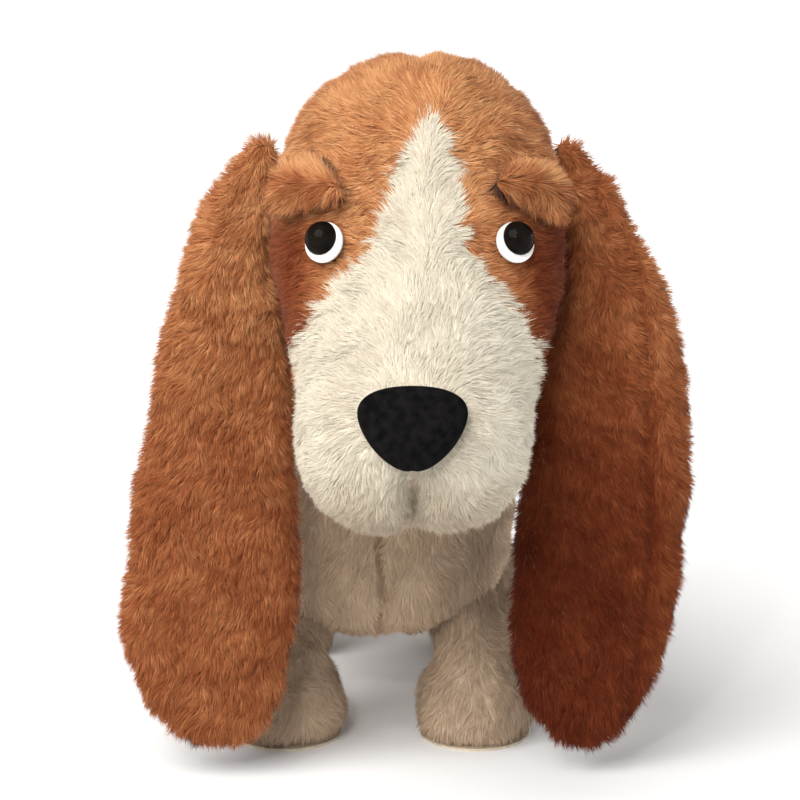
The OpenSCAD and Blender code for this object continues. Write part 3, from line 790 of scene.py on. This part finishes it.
def brow_axes(side):
    """Along a brow to its outer end, up across it, and out from the forehead."""
    out = SIDES[side]
    face = unit(np.array([0.625 * out, -0.66, 0.417]))
    level = unit(np.cross(Z, face)) * out
    level = level * np.sign(level[0] * out)
    rise = np.cross(face, level) * out
    tilt = math.radians(BROW_TILT[side])
    lengthwise = level * math.cos(tilt) - rise * math.sin(tilt)
    return lengthwise, unit(np.cross(face, lengthwise) * out), face


def brow_place(side):
    low, high = corners(f"eyebrow_{side}")
    return (low + high) / 2


def make_brow(side):
    lengthwise, rise, face = brow_axes(side)
    rings = []
    for share, size in BROW_ROWS:
        arch = 3 * MM * (1 - 2 * share * share)
        spot = brow_place(side) + lengthwise * share * 20 * MM + rise * arch - face * 3.5 * MM * (1 - share)
        rings.append(ring(spot, rise, face, 12 * MM * size, 5.5 * MM * size, 12))
    return formed(f"brow_form_{side}", rings, level=2)


def brow_flow(side):
    """The tufts part along the middle of the brow and lean to its outer end."""
    lengthwise, rise = brow_axes(side)[:2]
    place = brow_place(side)

    def flow(points, normals):
        away = points - place
        up = np.clip((away @ rise - 3 * MM) / (5 * MM), -1, 1)[:, None]
        return rise * up + lengthwise * 0.6
    return flow


def brow_tone(side):
    """Painted light along the upper edge, which faces the light, with a darker crease of painted shade below
    it.
    """
    rise = brow_axes(side)[1]
    place = brow_place(side)

    def tone(points, normals):
        up = (points - place) @ rise
        crease = np.exp(-((up - 3 * MM) / (2.5 * MM)) ** 2)
        # painted light on the upper edge, painted shade in the crease
        return 0.76 + 0.24 * steps(up, -2 * MM, 7 * MM) - 0.18 * crease
    return tone


# ---- Tail ----
TAIL_ROWS = [(-0.1, 0.6), (0, 0.95), (0.12, 1), (0.35, 0.93), (0.6, 0.85), (0.82, 0.72),
             (0.95, 0.45), (1, 0.2)]       # place along the tail and size


def make_tail():
    root = joint_place("tail_wag")
    high = corners("tail_skin", "tail_tip")[1]
    end = np.array([root[0], high[1] - 9 * MM, high[2] - 9 * MM])
    along = unit(end - root)
    length = np.linalg.norm(end - root)
    up = np.cross(X, along)
    rings = []
    for share, size in TAIL_ROWS:
        centre = root + along * share * length + up * 6 * MM * share * share
        rings.append(ring(centre, X, up, 12 * MM * size, 12 * MM * size, 12))
    return formed("tail_form", rings, level=2), root, along, length


# ---- Nose: a velvet pad, a rounded triangle that is broad at its top ----
def make_nose():
    half = (nose_high - nose_low) / 2
    back = nose_high[1] + 5 * MM
    front = nose_low[1]
    rings = []
    for share, size in ((0, 0.8), (0.12, 0.96), (0.4, 1), (0.68, 0.9), (0.88, 0.64), (0.97, 0.34)):
        y = back + (front - back) * share
        rings.append(ring((nose_place[0], y, nose_place[2] + 1 * MM), X, Z, half[0] * 0.94 * size,
                          half[2] * size, 24, pear=-0.36, square=2.25))
    nose = formed("nose_form", rings)
    points, normals = read(nose)
    cleft = hill(points, (nose_place[0], front, nose_low[2] + 4 * MM), (2 * MM, 12 * MM, 9 * MM))
    place(nose, points - normals * (1.2 * MM * cleft)[:, None])
    return nose


nose_velvet = mottled("nose_velvet_pile", (0.003, 0.003, 0.0035), (0.010, 0.009, 0.009), 5 * MM,
                      bump=0.5, bump_size=0.5 * MM, roughness=(0.85, 1.0), specular=0.03)
felt_cloth = mottled("felt_cloth", (0.80, 0.79, 0.76), (0.93, 0.92, 0.90), 2 * MM, bump=0.4,
                     bump_size=0.4 * MM, roughness=(0.85, 1.0))
eye_plastic = mottled("eye_plastic", (0.004, 0.003, 0.003), (0.010, 0.007, 0.005), 6 * MM,
                      roughness=(0.05, 0.08), specular=0.05)
washer_plastic = mottled("washer_resin", (0.62, 0.62, 0.6), (0.74, 0.74, 0.71), 4 * MM, bump=0.1,
                         roughness=(0.4, 0.55))
sole_cloth = mottled("sole_cloth", (0.55, 0.46, 0.34), (0.70, 0.61, 0.48), 6 * MM, bump=0.6,
                     bump_size=0.7 * MM)


# ---- Build everything ----
def build_head():
    head = make_head()
    skinned(head, brown_backing, "brown_plush", riding("head"), *HEAD_PANELS, "head_stuffing")
    two_tone(head, head_color)
    pile("head_pile", head, 2.1, head_length, head_flow, head_color, riding("head"), 101,
         keep=head_keep, swirl=0.55, lean=64, tone=head_tone)
    nose = make_nose()
    skinned(nose, nose_velvet, "nose_velvet", riding("head"), "nose_pad", "nose_padding", fill=0.9)


def two_tone(skin, color):
    """Gives the cream faces of a skin the cream backing."""
    skin.data.materials.append(cream_backing)
    middle = np.zeros(len(skin.data.polygons) * 3)
    normal = np.zeros(len(skin.data.polygons) * 3)
    skin.data.polygons.foreach_get("center", middle)
    skin.data.polygons.foreach_get("normal", normal)
    kind = color(middle.reshape(-1, 3), normal.reshape(-1, 3))
    skin.data.polygons.foreach_set("material_index", np.minimum(kind, 1).astype(np.int32))


def build_torso():
    torso = make_torso()
    skinned(torso, brown_backing, "brown_plush", riding("torso"), *TORSO_PANELS, "torso_stuffing")
    two_tone(torso, torso_color)
    pile("torso_pile", torso, 1.2, always(8 * MM), torso_flow, torso_color, riding("torso"), 111,
         lean=72, tone=torso_tone)


def build_legs():
    for end in ("front", "hind"):
        for side in SIDES:
            skin, hip = make_leg(end, side)
            body = f"{end}_leg_{side}"
            bend = bending()
            skinned(skin, cream_backing, "cream_plush", bend, f"{end}_leg_skin_{side}",
                    f"{end}_leg_stuffing_{side}")
            # the leg pile is the shaded cream, the cream plush painted darker as shade
            pile(f"{end}_leg_pile_{side}", skin, 1.3 if end == "front" else 1.0, always(7.5 * MM), leg_flow,
                 always(SHADED_CREAM), bend, 121 + steady_number(body),
                 keep=lambda p, n: outside_torso(p) & (p[:, 2] > 1.5 * MM))


def build_neck():
    neck = make_neck()
    skinned(neck, brown_backing, "brown_plush", bending(),
            "neck_skin", "neck_stuffing")
    # the front of the neck takes the shaded cream, painted shade on the cream plush
    pile("neck_pile", neck, 0.9, always(8 * MM), lambda p, n: np.tile([0.0, 0.3, -1.0], (len(p), 1)),
         lambda p, n: np.where(p[:, 1] < neck_place[1] - 8 * MM, SHADED_CREAM, BROWN), riding("neck"), 131)


def build_ears():
    for side in SIDES:
        ear, hinge = make_ear(side)
        bend = bending()
        skinned(ear, brown_backing, "brown_plush", bend, f"ear_front_{side}", f"ear_back_{side}",
                f"ear_batting_{side}", fill=0.6)
        pile(f"ear_pile_{side}", ear, 1.9, ear_length(side), ear_flow(side), always(BROWN), bend,
             141 + SIDES[side], swirl=0.4, tone=ear_tone(side))


def build_brows():
    for side in SIDES:
        brow = make_brow(side)
        body = f"brow_{side}"
        skinned(brow, brown_backing, "brown_plush", riding(body), f"eyebrow_{side}", fill=0.5)
        pile(f"brow_pile_{side}", brow, 2.6, always(9.5 * MM), brow_flow(side), always(BROWN), riding(body),
             151 + SIDES[side], lean=52, swirl=0.4, tone=brow_tone(side))


def build_tail():
    tail, root, along, length = make_tail()
    bend = bending()
    tip = root + along * length * 0.6

    def color(points, normals):
        far = (points - tip) @ along + 2 * MM * waves(points, 7 * MM, 25)
        return np.where(far > 0, CREAM, BROWN)
    skinned(tail, brown_backing, "brown_plush", bend, "tail_skin", "tail_tip", "tail_stuffing")
    two_tone(tail, color)
    pile("tail_pile", tail, 1.1, always(9 * MM), lambda p, n: np.tile(along, (len(p), 1)), color, bend, 161)


def finish_nodes():
    """The pieces that stay as the frame has them get their finish."""
    looks = {"eye_washer": washer_plastic, "eye_felt": felt_cloth, "eye": eye_plastic}
    for name, node in frame["nodes"].items():
        for start, material in looks.items():
            if name.startswith(start):
                node.data.materials.clear()
                node.data.materials.append(material)
                break
        if "_sole_" in name:
            node.data.materials.clear()
            node.data.materials.append(sole_cloth)


# ---- Studio ----
def small_light(name, spot, target, size, energy):
    """A small disc of light that gives the eyes their glint."""
    light = bpy.data.lights.new(name, "AREA")
    light.shape = "DISK"
    light.size = size
    light.energy = energy
    lamp = link(name, light)
    lamp.location = spot
    lamp.rotation_euler = (Vector(target) - Vector(spot)).to_track_quat("-Z", "Y").to_euler()


def build_studio():
    """A pale floor that curves up far away on all sides, an even sky and a broad sun."""
    rings = [ring((0, 0, height), X, Y, wide, wide, 48) for wide, height in
             ((1, 0), (10, 0), (11.5, 0.25), (12.7, 0.9), (13.4, 1.9), (13.8, 3), (14, 4.5))]
    count = len(rings[0])
    faces = [tuple(range(count))]
    for k in range(len(rings) - 1):
        for c in range(count):
            d = (c + 1) % count
            faces.append((k * count + c, (k + 1) * count + c, (k + 1) * count + d, k * count + d))
    floor_mesh = bpy.data.meshes.new("floor")
    floor_mesh.from_pydata(np.vstack(rings).tolist(), [], faces)
    floor_mesh.polygons.foreach_set("use_smooth", np.ones(len(faces), bool))
    floor = link("floor", floor_mesh)
    floor_mesh.materials.append(surface("floor_paper", (0.94, 0.94, 0.94), roughness=1, specular=0))
    world = bpy.data.worlds.new("studio")
    bpy.context.scene.world = world
    world.use_nodes = True
    world.node_tree.nodes["Background"].inputs["Color"].default_value = (1, 1, 1, 1)
    world.node_tree.nodes["Background"].inputs["Strength"].default_value = 0.5
    sun = bpy.data.lights.new("key", "SUN")
    sun.energy = 3.1
    sun.angle = math.radians(50)
    sun.color = (1, 0.99, 0.97)
    lamp = link("key", sun)
    lamp.rotation_euler = Vector((-0.55, -0.75, 0.95)).to_track_quat("Z", "Y").to_euler()
    small_light("glint", (-0.25, -1.5, 0.95), (0, -0.15, 0.3), 0.09, 3.0)


def build_camera():
    lens = bpy.data.cameras.new("camera")
    lens.sensor_width = 36
    lens.lens = 123.84
    camera = link("camera", lens)
    target = Vector((-1.8, -47.65, 207)) * MM
    tilt = math.radians(12)
    back = Vector((0, -math.cos(tilt), math.sin(tilt)))
    camera.location = target + back * 1.6
    camera.rotation_euler = (-back).to_track_quat("-Z", "Y").to_euler()
    bpy.context.scene.camera = camera


build_camera()
build_studio()
build_head()
build_torso()
build_neck()
build_ears()
build_brows()
build_legs()
build_tail()
finish_nodes()
bpy.context.scene.view_settings.view_transform = "Standard"
